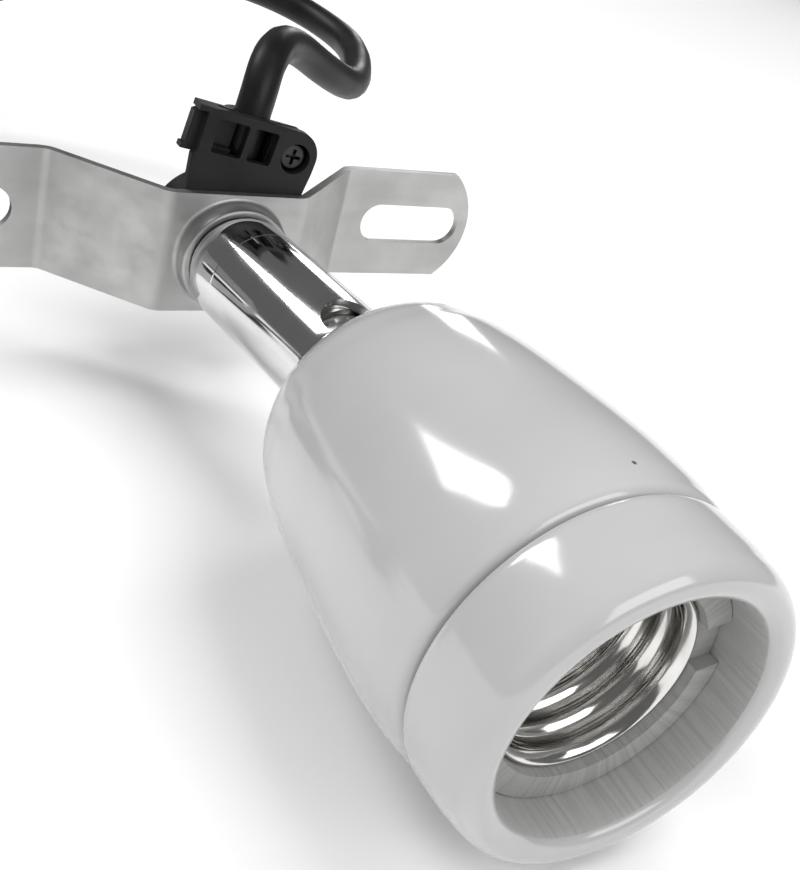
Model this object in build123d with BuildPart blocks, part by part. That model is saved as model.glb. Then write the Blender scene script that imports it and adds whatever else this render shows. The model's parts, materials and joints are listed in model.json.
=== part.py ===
from build123d import *
import os
from math import asin, atan2, cos, pi, radians, sin, sqrt, tan

# Heat lamp fixture: a porcelain Edison-screw lamp holder on a short chromed arm.
# The arm turns and leans on a ball seat pressed into a slotted strip bracket, and
# the holder tilts on a ball joint at the arm's slotted end.
# Millimetres.  Origin: middle of the two slots, on the wall side of the feet.
# +X runs along the strip, -Y points away from the wall, +Z across the strip.

os.makedirs("parts", exist_ok=True)

# ---- strip bracket ---------------------------------------------------------
strip_width = 22.0
strip_thick = 1.5
plate_half = 12.5        # half of the flat centre plate
plate_front = 17.5       # wall to the front of the centre plate
leg_run = 16.3           # run of each sloping leg along X
foot_chord = 53.4        # where the rounded end of a foot starts
foot_tip = 58.6
slot_pitch = 90.0
slot_length = 22.6
slot_width = 8.0
fold_radius = 2.4        # inside radius of the folds

# ---- ball seat and arm -----------------------------------------------------
arm_radius = 9.4
arm_wall = 1.4
seat_clearance = 0.08
collar_radius = 9.8      # raised collar round the seat's mouth
ball_out = 25.0          # wall to the centre of the upper ball
arm_lean_deg = 7.78      # lean of the arm towards +X at rest
knuckle_station = 31.33  # upper ball centre to lower ball centre, along the arm
cap_skirt = 4.5          # the domed cap's skirt below the upper ball centre
cap_thread_radius = 8.7
cap_hole_radius = 5.9
slot_turn_deg = 8.0      # the arm's slot faces +Z, turned this much towards -X
arm_slot_radius = 4.4
nipple_radius = 4.0
nipple_bore = 2.8

# ---- lamp holder, stations measured from the knuckle centre along -Y --------
crown_at = 10.0
seam_at = 64.4
mouth_at = 77.0
flange_at = 70.1
lip_at = 68.9
seam_gap = 0.4
mouth_radius = 17.5
flange_hole = 14.0
stem_radius = 2.9
stem_bore = 1.85
thread_minor = 12.2
thread_depth = 1.05
thread_pitch = 3.6
thread_turns = 5
shell_thick = 0.35
core_base_front = 45.0
core_base_rear = 37.0

# ---- cord and plug ---------------------------------------------------------
cord_d = 6.4
cord_out = 11.0          # wall to the cord's middle inside the grip
floor_z = -24.2          # surface that the lamp holder lies on
coil_x = -80.0
coil_y = 68.0
coil_mean = 36.0
coil_half_width = 9.6
coil_bottom = -23.4
coil_top = -6.8
lead_radius = 0.8

FIT = 0.02               # gap between fixed mating faces

lean = radians(arm_lean_deg)
knuckle_x = knuckle_station * sin(lean)
knuckle_out = ball_out + knuckle_station * cos(lean)

# Sections for turned pieces: local X is the radius, local Y runs along the axis.
wall_section = Plane(origin=(0, 0, 0), x_dir=(1, 0, 0), z_dir=(0, 0, -1))
wall_axis = Axis((0, 0, 0), (0, -1, 0))
arm_dir = Vector(sin(lean), -cos(lean), 0)
arm_side = Vector(cos(lean), sin(lean), 0)
ball_centre = Vector(0, -ball_out, 0)
knuckle = Vector(knuckle_x, -knuckle_out, 0)
arm_section = Plane(origin=ball_centre, x_dir=arm_side, z_dir=(0, 0, -1))
arm_axis = Axis(ball_centre, arm_dir)
lower_section = Plane(origin=knuckle, x_dir=arm_side, z_dir=(0, 0, -1))
lamp_section = Plane(origin=knuckle, x_dir=(1, 0, 0), z_dir=(0, 0, -1))
lamp_axis = Axis(knuckle, (0, -1, 0))
lamp_plane = Plane(origin=knuckle, x_dir=(1, 0, 0), z_dir=(0, -1, 0))


def arc_about(centre_at, start, end):
    """An arc from start to end about a centre on the section's axis."""
    span = sqrt(start[0]**2 + (start[1] - centre_at)**2)
    mid_x = start[0] + end[0]
    mid_y = start[1] + end[1] - 2 * centre_at
    scale = span / sqrt(mid_x**2 + mid_y**2)
    ThreePointArc(start, (mid_x * scale, centre_at + mid_y * scale), end)


def finish(piece, name):
    """Label a finished piece and write its own file."""
    piece.part.label = name
    export_step(piece.part, "parts/" + name + ".step")


# ---------------------------------------------------------------------------
# Mounting bracket: bent steel strip with two long slots and a pressed ball seat
# ---------------------------------------------------------------------------
leg_angle = atan2(plate_front - strip_thick, leg_run)
fold_shift = strip_thick * tan(leg_angle / 2)
foot_fold = plate_half + leg_run
plate_rear = plate_front - strip_thick
seat_radius = arm_radius + seat_clearance
seat_back_radius = seat_radius + strip_thick
collar_front = ball_out - 3.9
bend_front = [(plate_half, -plate_front), (foot_fold, -strip_thick)]
bend_rear = [(plate_half - fold_shift, -plate_rear), (foot_fold - fold_shift, 0)]

with BuildPart() as mounting_bracket:
    with BuildSketch(Plane.XY):
        with BuildLine():
            Polyline(
                (-foot_tip, -strip_thick), (-foot_fold, -strip_thick),
                (-plate_half, -plate_front), (plate_half, -plate_front),
                (foot_fold, -strip_thick), (foot_tip, -strip_thick),
                (foot_tip, 0), bend_rear[1], bend_rear[0],
                (-bend_rear[0][0], -plate_rear), (-bend_rear[1][0], 0),
                (-foot_tip, 0), close=True)
        make_face()
        outer = fold_radius + strip_thick
        for (fx, fy), radius in zip(
                bend_front + bend_rear, (outer, fold_radius, fold_radius, outer)):
            corners = [v for v in vertices()
                       if abs(abs(v.X) - fx) < 0.05 and abs(v.Y - fy) < 0.05]
            fillet(corners, radius)
    extrude(amount=strip_width / 2, both=True)
    half = strip_width / 2
    with BuildSketch(Plane.XZ):
        with BuildLine():
            Line((-foot_chord, -half), (foot_chord, -half))
            ThreePointArc((foot_chord, -half), (foot_tip, 0), (foot_chord, half))
            Line((foot_chord, half), (-foot_chord, half))
            ThreePointArc((-foot_chord, half), (-foot_tip, 0), (-foot_chord, -half))
        make_face()
    extrude(amount=plate_front + 1, mode=Mode.INTERSECT)
    with BuildSketch(Plane.XZ):
        with GridLocations(slot_pitch, 0, 2, 1):
            SlotOverall(slot_length, slot_width)
    extrude(amount=strip_thick * 2, mode=Mode.SUBTRACT)
    # the ball seat is pressed into the plate: a collar in front, a bulge behind
    back_rim = sqrt(seat_back_radius**2 - (ball_out - plate_rear)**2)
    with BuildSketch(wall_section):
        with BuildLine():
            Line((0, ball_out - seat_back_radius), (0, collar_front))
            Line((0, collar_front), (collar_radius - 0.5, collar_front))
            ThreePointArc((collar_radius - 0.5, collar_front),
                          (collar_radius - 0.1, collar_front - 0.2),
                          (collar_radius, collar_front - 0.7))
            Line((collar_radius, collar_front - 0.7), (collar_radius + 0.1, plate_front + 0.9))
            ThreePointArc((collar_radius + 0.1, plate_front + 0.9),
                          (collar_radius + 0.35, plate_front + 0.25),
                          (collar_radius + 1.0, plate_front))
            Polyline((collar_radius + 1.0, plate_front), (collar_radius + 1.0, plate_rear + 0.3),
                     (back_rim, plate_rear))
            arc_about(ball_out, (back_rim, plate_rear), (0, ball_out - seat_back_radius))
        make_face()
    revolve(axis=wall_axis)
    with Locations(ball_centre):
        Sphere(seat_radius, mode=Mode.SUBTRACT)
    mouth_edge = mounting_bracket.edges().filter_by(GeomType.CIRCLE).filter_by(
        lambda e: abs(e.radius - sqrt(seat_radius**2 - (ball_out - collar_front)**2)) < 0.05)
    fillet(mouth_edge, 0.4)
    with BuildSketch(Plane.XZ):
        Circle(nipple_radius + 0.1)
    extrude(amount=plate_front, mode=Mode.SUBTRACT)
finish(mounting_bracket, "mounting_bracket")

# ---------------------------------------------------------------------------
# Cord grip: moulded plate behind the strip, clamping shell, rear cover and screw
# ---------------------------------------------------------------------------
grip_turn = radians(10)
grip_plane = Plane(origin=(0, 0, 0), x_dir=(cos(grip_turn), 0, -sin(grip_turn)), z_dir=(0, -1, 0))
grip_side = Vector(cos(grip_turn), 0, -sin(grip_turn))
grip_up = Vector(sin(grip_turn), 0, cos(grip_turn))
grip_front = plate_rear - 0.06
grip_face = 1.7          # thickness of the grip's plate
grip_back = grip_front - grip_face
grip_floor = 8.6         # rear face of the boss that the lock nut clamps
grip_boss = 10.0
grip_top = 23.6
grip_corner = 4.6
grip_screw_at = (6.2, 18.8)
block_rear = 11.0        # rear end of the screw's boss
cord_side = -1.8         # the cord's middle, across the grip
jacket_end = 16.4        # where the cord's jacket starts, up the grip
recess_radius = seat_back_radius + FIT

with BuildSketch(Plane.XY) as grip_outline:
    with BuildLine():
        Polyline((9.3, -1.0), (9.4, 6.0), (10.3, 17.0), (10.3, grip_top), (-11.5, grip_top),
                 (-11.5, 16.2), (-12.0, 15.2), (-10.6, 6.0), (-10.5, -1.0))
        ThreePointArc((-10.5, -1.0), (-0.6, -11.4), (9.3, -1.0))
    make_face()
    fillet(grip_outline.vertices().group_by(Axis.Y)[-1].sort_by(Axis.X)[-1], grip_corner)

with BuildPart() as cord_grip_body:
    with BuildSketch(grip_plane.offset(grip_back)):
        add(grip_outline.sketch)
        with Locations((-12.35, grip_top - 0.5)):
            Rectangle(1.9, 1.0)
    extrude(amount=grip_face)
    fillet(cord_grip_body.faces().sort_by(Axis.Y)[0].edges(), 0.3)
    # boss for the nipple and boss for the screw
    with BuildSketch(grip_plane.offset(grip_floor)):
        Circle(grip_boss)
    extrude(amount=grip_back - grip_floor + 0.5)
    with BuildSketch(grip_plane.offset(block_rear)):
        with Locations(grip_screw_at):
            Circle(3.9)
    extrude(amount=grip_back - block_rear + 0.5)
    # two windows in the plate, with a rib between them
    window_low = 16.4
    window_high = 22.2
    for window_left, window_right in ((-9.2, -3.7), (-2.6, 1.9)):
        with BuildSketch(grip_plane.offset(grip_front)):
            with Locations(((window_left + window_right) / 2, (window_low + window_high) / 2)):
                RectangleRounded(window_right - window_left, window_high - window_low, 0.5)
        extrude(amount=-(grip_face + 0.1), mode=Mode.SUBTRACT)
    # counterbore and hole for the screw
    with BuildSketch(grip_plane.offset(grip_front)):
        with Locations(grip_screw_at):
            Circle(2.7)
    extrude(amount=-2.8, mode=Mode.SUBTRACT)
    with BuildSketch(grip_plane.offset(grip_front)):
        with Locations(grip_screw_at):
            Circle(1.6)
    extrude(amount=-grip_front, mode=Mode.SUBTRACT)
    # room for the pressed seat and a hole for the nipple
    with Locations(ball_centre):
        Sphere(recess_radius, mode=Mode.SUBTRACT)
    with BuildSketch(grip_plane):
        Circle(nipple_radius + 0.1)
    extrude(amount=plate_front, mode=Mode.SUBTRACT)
finish(cord_grip_body, "cord_grip_body")

# The clamping shell: a shallow tray with a latch flange, a half-round bulge for the
# cord and an ear that the screw pulls up against the body's boss.
shell_front = grip_back - FIT
shell_rear = grip_front - 3.5
shell_low = 15.4
shell_high = 22.6
channel_plane = Plane(origin=grip_up * shell_low, x_dir=grip_side, z_dir=grip_up)
with BuildPart() as cord_clamp_shell:
    with BuildSketch(grip_plane.offset(shell_rear)):
        with BuildLine():
            Polyline((-13.8, shell_low), (-13.8, 16.3), (-13.3, 16.3), (-13.3, 21.9),
                     (-12.6, 22.3), (-12.6, shell_high), (-13.2, shell_high), (-13.2, grip_top),
                     (-8.0, grip_top), (1.0, shell_high), (3.1, 21.4), (3.1, shell_low), close=True)
        make_face()
    extrude(amount=shell_front - shell_rear)
    with BuildSketch(channel_plane):
        with Locations((cord_side, -cord_out)):
            Circle(4.9)
    extrude(amount=shell_high - shell_low)
    with BuildSketch(grip_plane.offset(block_rear - FIT - 3.0)):
        with Locations((4.6, 18.9)):
            RectangleRounded(9.6, 6.8, 1.0)
    extrude(amount=3.0)
    # nothing stands in front of the shell's front face
    with BuildSketch(grip_plane.offset(shell_front)):
        Rectangle(80, 80)
    extrude(amount=6.0, mode=Mode.SUBTRACT)
    # room for the body's screw boss
    with BuildSketch(grip_plane.offset(block_rear - FIT)):
        with Locations(grip_screw_at):
            Circle(3.95)
    extrude(amount=6.0, mode=Mode.SUBTRACT)
    # U-shaped channel that the cord lies in, closed in front by the body's plate
    with BuildSketch(channel_plane.offset(-1.0)):
        with Locations((cord_side, -cord_out)):
            Circle(cord_d / 2 + FIT)
        with Locations((cord_side, -cord_out - 2.5)):
            Rectangle(cord_d + 2 * FIT, 5.0)
    extrude(amount=12.0, mode=Mode.SUBTRACT)
    # shallow pocket behind the windows
    with BuildSketch(grip_plane.offset(shell_front)):
        with Locations((-4.0, 20.8)):
            Rectangle(11.0, 7.4)
    extrude(amount=-0.9, mode=Mode.SUBTRACT)
    with BuildSketch(grip_plane.offset(shell_rear + 6.0)):
        with Locations(grip_screw_at):
            Circle(1.25)
    extrude(amount=-20.0, mode=Mode.SUBTRACT)
finish(cord_clamp_shell, "cord_clamp_shell")

cover_rear = 2.2
with BuildPart() as cord_grip_cover:
    with BuildSketch(grip_plane.offset(cover_rear)):
        Circle(grip_boss)
        with Locations((cord_side, 8.8)):
            Rectangle(8.8, 9.6)
    extrude(amount=grip_floor - FIT - cover_rear)
    fillet(cord_grip_cover.faces().sort_by(Axis.Y)[-1].edges(), 0.8)
    # neck that reaches up to the clamping shell, over the leads
    with BuildSketch(grip_plane.offset(6.2)):
        with Locations((cord_side, 12.75)):
            Rectangle(8.8, 5.1)
    extrude(amount=grip_back - FIT - 6.2)
    with BuildSketch(grip_plane.offset(cover_rear + 1.2)):
        Circle(grip_boss - 1.3)
        with Locations((cord_side, 8.2)):
            Rectangle(6.4, 8.4)
    extrude(amount=grip_floor - cover_rear, mode=Mode.SUBTRACT)
    with BuildSketch(grip_plane.offset(7.4)):
        with Locations((cord_side, 12.8)):
            Rectangle(6.4, 5.4)
    extrude(amount=5.6, mode=Mode.SUBTRACT)
    # room for the body's boss
    with BuildSketch(grip_plane.offset(grip_floor - FIT)):
        Circle(grip_boss + FIT)
    extrude(amount=10.0, mode=Mode.SUBTRACT)
finish(cord_grip_cover, "cord_grip_cover")

screw_head_at = grip_front - 2.8
screw_end_at = 7.6
with BuildPart() as cord_grip_screw:
    with BuildSketch(grip_plane.offset(screw_head_at)):
        with Locations(grip_screw_at):
            Circle(2.4)
    extrude(amount=1.7)
    fillet(cord_grip_screw.edges().sort_by(Axis.Y)[0], 0.5)
    with BuildSketch(grip_plane.offset(screw_end_at)):
        with Locations(grip_screw_at):
            Circle(1.22)
    extrude(amount=screw_head_at - screw_end_at)
    # cross recess
    with BuildSketch(grip_plane.offset(screw_head_at + 1.7)):
        with Locations(grip_screw_at):
            Rectangle(2.8, 0.6)
            Rectangle(0.6, 2.8)
    extrude(amount=-1.0, mode=Mode.SUBTRACT)
finish(cord_grip_screw, "cord_grip_screw")

# ---------------------------------------------------------------------------
# Hollow nipple that ties the grip, the bracket and the upper ball together
# ---------------------------------------------------------------------------
lock_washer_thick = 0.6
lock_nut_thick = 2.2
nipple_rear = grip_floor - lock_washer_thick - lock_nut_thick - 0.4
washer_ball = arm_radius - arm_wall - 0.07
washer_front = ball_out - 2.3
spring_washer_thick = 1.1
upper_nut_thick = 4.0
nipple_front = washer_front + spring_washer_thick + upper_nut_thick + 1.2

with BuildPart() as upper_nipple:
    with BuildSketch(wall_section):
        with BuildLine():
            Polyline((nipple_bore, nipple_rear), (nipple_radius, nipple_rear),
                     (nipple_radius, nipple_front), (nipple_bore, nipple_front), close=True)
        make_face()
    revolve(axis=wall_axis)
    chamfer(upper_nipple.edges().filter_by(
        lambda e: e.geom_type == GeomType.CIRCLE and e.radius > nipple_bore + 0.5), 0.4)
finish(upper_nipple, "upper_nipple")

with BuildPart() as lock_washer:
    with BuildSketch(Plane.XZ.offset(grip_floor - lock_washer_thick)):
        Circle(7.6)
        with PolarLocations(7.6, 12):
            Rectangle(1.2, 1.4, mode=Mode.SUBTRACT)
        Circle(nipple_radius + FIT, mode=Mode.SUBTRACT)
    extrude(amount=lock_washer_thick)
finish(lock_washer, "lock_washer")


def hex_nut(plane, across_flats, bore, thick):
    """A hexagon nut on a plane, its bottom face in the plane."""
    with BuildPart() as nut:
        with BuildSketch(plane):
            RegularPolygon(across_flats / 2, 6, major_radius=False)
            Circle(bore, mode=Mode.SUBTRACT)
        extrude(amount=thick)
        with BuildSketch(plane):
            Circle(across_flats / 2 * 1.09)
        extrude(amount=thick, mode=Mode.INTERSECT)
    return nut


lock_nut = hex_nut(Plane.XZ.offset(grip_floor - lock_washer_thick - lock_nut_thick), 13.0,
                   nipple_radius + FIT, lock_nut_thick)
finish(lock_nut, "lock_nut")

with BuildPart() as ball_washer:
    washer_hole = nipple_radius + 0.06
    ball_low = ball_out - sqrt(washer_ball**2 - washer_hole**2)
    edge_radius = sqrt(washer_ball**2 - (ball_out - washer_front)**2)
    with BuildSketch(wall_section):
        with BuildLine():
            Line((washer_hole, ball_low), (washer_hole, washer_front))
            Line((washer_hole, washer_front), (edge_radius, washer_front))
            arc_about(ball_out, (edge_radius, washer_front), (washer_hole, ball_low))
        make_face()
    revolve(axis=wall_axis)
finish(ball_washer, "ball_washer")

with BuildPart() as spring_washer:
    with BuildSketch(Plane.XZ.offset(washer_front + FIT)):
        Circle(6.6)
        Circle(nipple_radius + FIT, mode=Mode.SUBTRACT)
    extrude(amount=spring_washer_thick - FIT)
finish(spring_washer, "spring_washer")

upper_nut = hex_nut(Plane.XZ.offset(washer_front + spring_washer_thick), 10.0,
                    nipple_radius + FIT, upper_nut_thick)
finish(upper_nut, "upper_nut")

# ---------------------------------------------------------------------------
# Arm: domed cap, slotted tube, pressure cup, disc springs and circlip
# ---------------------------------------------------------------------------
bore = arm_radius - arm_wall
cap_step = -0.5
with BuildPart() as dome_cap:
    outer_low = -sqrt(arm_radius**2 - cap_hole_radius**2)
    inner_low = -sqrt(bore**2 - cap_hole_radius**2)
    step_radius = sqrt(bore**2 - cap_step**2)
    with BuildSketch(arm_section):
        with BuildLine():
            arc_about(0, (cap_hole_radius, outer_low), (arm_radius, 0))
            Line((arm_radius, 0), (arm_radius, cap_skirt))
            Line((arm_radius, cap_skirt), (cap_thread_radius + 0.05, cap_skirt))
            Line((cap_thread_radius + 0.05, cap_skirt), (cap_thread_radius + 0.05, cap_step))
            Line((cap_thread_radius + 0.05, cap_step), (step_radius, cap_step))
            arc_about(0, (step_radius, cap_step), (cap_hole_radius, inner_low))
            Line((cap_hole_radius, inner_low), (cap_hole_radius, outer_low))
        make_face()
    revolve(axis=arm_axis)
finish(dome_cap, "dome_cap")

groove_at = knuckle_station - 15.8
groove_width = 1.3
groove_radius = 8.6
slot_turn = radians(slot_turn_deg)
slot_dir = Vector(0, 0, 1) * cos(slot_turn) - arm_side * sin(slot_turn)
with BuildPart() as swivel_tube:
    with BuildSketch(arm_section):
        with BuildLine():
            Polyline((bore, cap_step + 0.1), (cap_thread_radius, cap_step + 0.1),
                     (cap_thread_radius, cap_skirt + 0.06), (arm_radius, cap_skirt + 0.06),
                     (arm_radius, knuckle_station))
            ThreePointArc((arm_radius, knuckle_station),
                          (arm_radius * sin(pi / 4), knuckle_station + arm_radius * cos(pi / 4)),
                          (0, knuckle_station + arm_radius))
            Line((0, knuckle_station + arm_radius), (0, knuckle_station + bore))
            ThreePointArc((0, knuckle_station + bore),
                          (bore * sin(pi / 4), knuckle_station + bore * cos(pi / 4)),
                          (bore, knuckle_station))
            Polyline((bore, knuckle_station), (bore, groove_at + groove_width),
                     (groove_radius, groove_at + groove_width), (groove_radius, groove_at),
                     (bore, groove_at), (bore, cap_step + 0.1))
        make_face()
    revolve(axis=arm_axis)
    # the slot that the stem swings through: up the side, and across the end
    with BuildSketch(Plane(origin=knuckle, x_dir=arm_dir, z_dir=slot_dir)):
        Circle(arm_slot_radius)
        with Locations((arm_radius, 0)):
            Rectangle(2 * arm_radius, 2 * arm_slot_radius)
    extrude(amount=arm_radius + 2, mode=Mode.SUBTRACT)
    end_shift = 1.0
    with BuildSketch(Plane(origin=knuckle, x_dir=slot_dir, z_dir=arm_dir)):
        with Locations((-end_shift, 0)):
            Circle(arm_slot_radius)
        with Locations((arm_radius - end_shift, 0)):
            Rectangle(2 * arm_radius, 2 * arm_slot_radius)
    extrude(amount=arm_radius + 2, mode=Mode.SUBTRACT)
finish(swivel_tube, "swivel_tube")

cup_rear = -9.2
cup_lip = -3.6
cup_hole = 4.3
cup_ball = bore
with BuildPart() as pressure_cup:
    hole_ball = -sqrt(cup_ball**2 - cup_hole**2)
    lip_radius = sqrt(cup_ball**2 - cup_lip**2)
    with BuildSketch(lower_section):
        with BuildLine():
            Line((cup_hole, cup_rear), (bore - 0.08, cup_rear))
            Line((bore - 0.08, cup_rear), (bore - 0.08, cup_lip))
            Line((bore - 0.08, cup_lip), (lip_radius, cup_lip))
            arc_about(0, (lip_radius, cup_lip), (cup_hole, hole_ball))
            Line((cup_hole, hole_ball), (cup_hole, cup_rear))
        make_face()
    revolve(axis=arm_axis)
finish(pressure_cup, "pressure_cup")

disc_thick = 0.6
disc_rise = 0.7
disc_inner = 4.4
disc_outer = 7.7
with BuildPart() as disc_springs:
    for i in range(4):
        base = cup_rear - FIT - i * (disc_thick + disc_rise)
        near = 0 if i % 2 == 0 else disc_rise
        far = disc_rise - near
        with BuildSketch(lower_section):
            with BuildLine():
                Polyline((disc_inner, base - far), (disc_outer, base - near),
                         (disc_outer, base - near - disc_thick),
                         (disc_inner, base - far - disc_thick), close=True)
            make_face()
        revolve(axis=arm_axis, mode=Mode.ADD)
finish(disc_springs, "disc_springs")

with BuildPart() as retaining_ring:
    with BuildSketch(Plane(origin=ball_centre + arm_dir * (groove_at + 0.1), x_dir=arm_side,
                           z_dir=arm_dir)):
        Circle(groove_radius - 0.05)
        Circle(6.6, mode=Mode.SUBTRACT)
        with Locations((0, -7.5)):
            Rectangle(4.0, 4.0, mode=Mode.SUBTRACT)
    extrude(amount=groove_width - 0.2)
finish(retaining_ring, "retaining_ring")

# ---------------------------------------------------------------------------
# Lamp holder: ball stem, porcelain dome and ring, core, screw shell, contacts
# ---------------------------------------------------------------------------
stem_ball = bore - 0.07
stem_back = -5.6
stem_end = 22.0
with BuildPart() as ball_stem:
    back_radius = sqrt(stem_ball**2 - stem_back**2)
    shank_at = sqrt(stem_ball**2 - stem_radius**2)
    with BuildSketch(lamp_section):
        with BuildLine():
            Line((4.6, stem_back), (back_radius, stem_back))
            ThreePointArc((back_radius, stem_back), (stem_ball, 0), (stem_radius, shank_at))
            Polyline((stem_radius, shank_at), (stem_radius, stem_end), (stem_bore, stem_end),
                     (stem_bore, 3.0), (4.6, stem_back))
        make_face()
    revolve(axis=lamp_axis)
finish(ball_stem, "ball_stem")

with BuildPart() as stem_collar:
    with BuildSketch(lamp_plane.offset(9.5)):
        Circle(5.0)
        Circle(stem_radius + FIT, mode=Mode.SUBTRACT)
    extrude(amount=crown_at - 9.5)
finish(stem_collar, "stem_collar")

crown_thick = 5.2
spigot_radius = 16.8
core_screw_at = 10.6
dome_cavity = spigot_radius + 0.2
with BuildPart() as ceramic_dome:
    with BuildSketch(lamp_section):
        with BuildLine():
            Line((stem_radius + 0.15, crown_at), (11.0, crown_at))
            Spline((11.0, crown_at), (14.6, 10.8), (17.4, 12.6), (19.6, 16.0), (20.7, 20.0),
                   (21.6, 24.2), (22.6, 32.2), (23.5, 43.0), (23.9, 52.0), (23.7, 59.0),
                   (23.2, 62.5))
            ThreePointArc((23.2, 62.5), (22.8, 63.6), (22.0, seam_at - 0.2))
            Polyline((22.0, seam_at - 0.2), (dome_cavity, seam_at - 0.2), (dome_cavity, 34.0))
            ThreePointArc((dome_cavity, 34.0), (15.5, 22.5), (12.6, crown_at + crown_thick))
            Polyline((12.6, crown_at + crown_thick), (stem_radius + 0.15, crown_at + crown_thick),
                     (stem_radius + 0.15, crown_at))
        make_face()
    revolve(axis=lamp_axis)
    with BuildSketch(lamp_plane.offset(crown_at + crown_thick)):
        with Locations((0, core_screw_at), (0, -core_screw_at)):
            Circle(1.6)
    extrude(amount=-3.0, mode=Mode.SUBTRACT)
finish(ceramic_dome, "ceramic_dome")

ring_rear = seam_at + seam_gap - 0.2
core_radius = 15.4
flange_thick = 3.0
with BuildPart() as ceramic_ring:
    shoulder = flange_at - flange_thick
    with BuildSketch(lamp_section):
        with BuildLine():
            Polyline((core_radius + 0.2, 58.0), (spigot_radius, 58.0), (spigot_radius, ring_rear),
                     (22.2, ring_rear))
            ThreePointArc((22.2, ring_rear), (22.75, ring_rear + 0.25), (23.0, ring_rear + 0.9))
            Spline((23.0, ring_rear + 0.9), (22.8, 69.0), (22.3, 74.0),
                   tangents=[(0.02, 1), (-0.12, 1)])
            ThreePointArc((22.3, 74.0), (21.6, 76.1), (19.5, mouth_at))
            ThreePointArc((19.5, mouth_at), (18.1, 76.5), (mouth_radius, 75.4))
            Polyline((mouth_radius, 75.4), (mouth_radius, shoulder),
                     (core_radius + 0.2, shoulder), (core_radius + 0.2, 58.0))
        make_face()
    revolve(axis=lamp_axis)
finish(ceramic_ring, "ceramic_ring")

core_hole = thread_minor + thread_depth + shell_thick + 0.15
contact_stem = 2.0
with BuildPart() as socket_core:
    with BuildSketch(lamp_section):
        with BuildLine():
            Polyline((0, core_base_rear), (core_radius, core_base_rear), (core_radius, shoulder),
                     (mouth_radius - 0.15, shoulder), (mouth_radius - 0.15, flange_at),
                     (flange_hole, flange_at), (flange_hole, lip_at - 0.4),
                     (core_hole, lip_at - 1.0), (core_hole, core_base_front),
                     (0, core_base_front), close=True)
        make_face()
    revolve(axis=lamp_axis)
    # keyed recess in the flange
    with BuildSketch(lamp_plane.offset(flange_at)):
        with PolarLocations(flange_hole + 1.6, 1, start_angle=12):
            RectangleRounded(5.4, 7.0, 1.2)
    extrude(amount=-1.8, mode=Mode.SUBTRACT)
    # holes for the centre contact and for the two long screws
    with BuildSketch(lamp_plane.offset(core_base_rear)):
        Circle(contact_stem + 0.06)
        with Locations((0, core_screw_at), (0, -core_screw_at)):
            Circle(1.65)
    extrude(amount=core_base_front - core_base_rear, mode=Mode.SUBTRACT)
finish(socket_core, "socket_core")

land = 0.7
first_groove = lip_at - 2.2
shell_bottom = core_base_front + 1.6
with BuildPart() as screw_shell:
    outer_minor = thread_minor + shell_thick
    with BuildSketch(lamp_section):
        with BuildLine():
            Line((thread_minor + 1.15, lip_at), (thread_minor, first_groove + land))
            for side, radius in ((1, thread_minor), (-1, outer_minor)):
                for i in range(thread_turns):
                    top = first_groove - i * thread_pitch
                    low = top - thread_pitch + land
                    Line((radius, top + land), (radius, top))
                    ThreePointArc((radius, top), (radius + thread_depth, (top + low) / 2),
                                  (radius, low))
                last = first_groove - (thread_turns - 1) * thread_pitch - thread_pitch + land
                floor_at = shell_bottom + (shell_thick if side == 1 else 0)
                Line((radius, last), (radius - 1.3, floor_at))
                Line((radius - 1.3, floor_at), (9.0, floor_at))
            Line((9.0, shell_bottom), (9.0, shell_bottom + shell_thick))
            Line((outer_minor, first_groove + land), (thread_minor + 1.4, lip_at - 0.2))
            Line((thread_minor + 1.4, lip_at - 0.2), (thread_minor + 1.15, lip_at))
        make_face()
    revolve(axis=lamp_axis)
finish(screw_shell, "screw_shell")

button_rear = core_base_front + 2.3
button_top = 2.3
button_dome = (4.2**2 + (button_top - 0.8)**2) / (2 * (button_top - 0.8))
with BuildPart() as centre_contact:
    with BuildSketch(lamp_section):
        with BuildLine():
            Polyline((0, core_base_rear + 2.0), (contact_stem, core_base_rear + 2.0),
                     (contact_stem, button_rear), (4.2, button_rear), (4.2, button_rear + 0.8))
            dome_centre = button_rear + button_top - button_dome
            arc_about(dome_centre, (4.2, button_rear + 0.8), (0, button_rear + button_top))
            Line((0, button_rear + button_top), (0, core_base_rear + 2.0))
        make_face()
    revolve(axis=lamp_axis)
finish(centre_contact, "centre_contact")

with BuildPart() as contact_spring:
    with BuildSketch(lamp_plane.offset(core_base_front)):
        Circle(4.4)
        Circle(contact_stem + 0.2, mode=Mode.SUBTRACT)
    extrude(amount=0.6)
finish(contact_spring, "contact_spring")

with BuildPart() as core_screws:
    for side in (1, -1):
        with BuildSketch(lamp_plane.offset(crown_at + crown_thick - 2.8)):
            with Locations((0, side * core_screw_at)):
                Circle(1.5)
        extrude(amount=core_base_front - crown_at - crown_thick + 2.8)
        with BuildSketch(lamp_plane.offset(core_base_front)):
            with Locations((0, side * core_screw_at)):
                Circle(2.7)
        extrude(amount=1.5)
        with BuildSketch(lamp_plane.offset(core_base_front + 1.5)):
            with Locations((0, side * core_screw_at)):
                Rectangle(5.6, 0.7)
        extrude(amount=-0.7, mode=Mode.SUBTRACT)
finish(core_screws, "core_screws")

terminal_x = 8.6
terminal_len = 7.0
terminal_rear = core_base_rear - terminal_len


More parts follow.
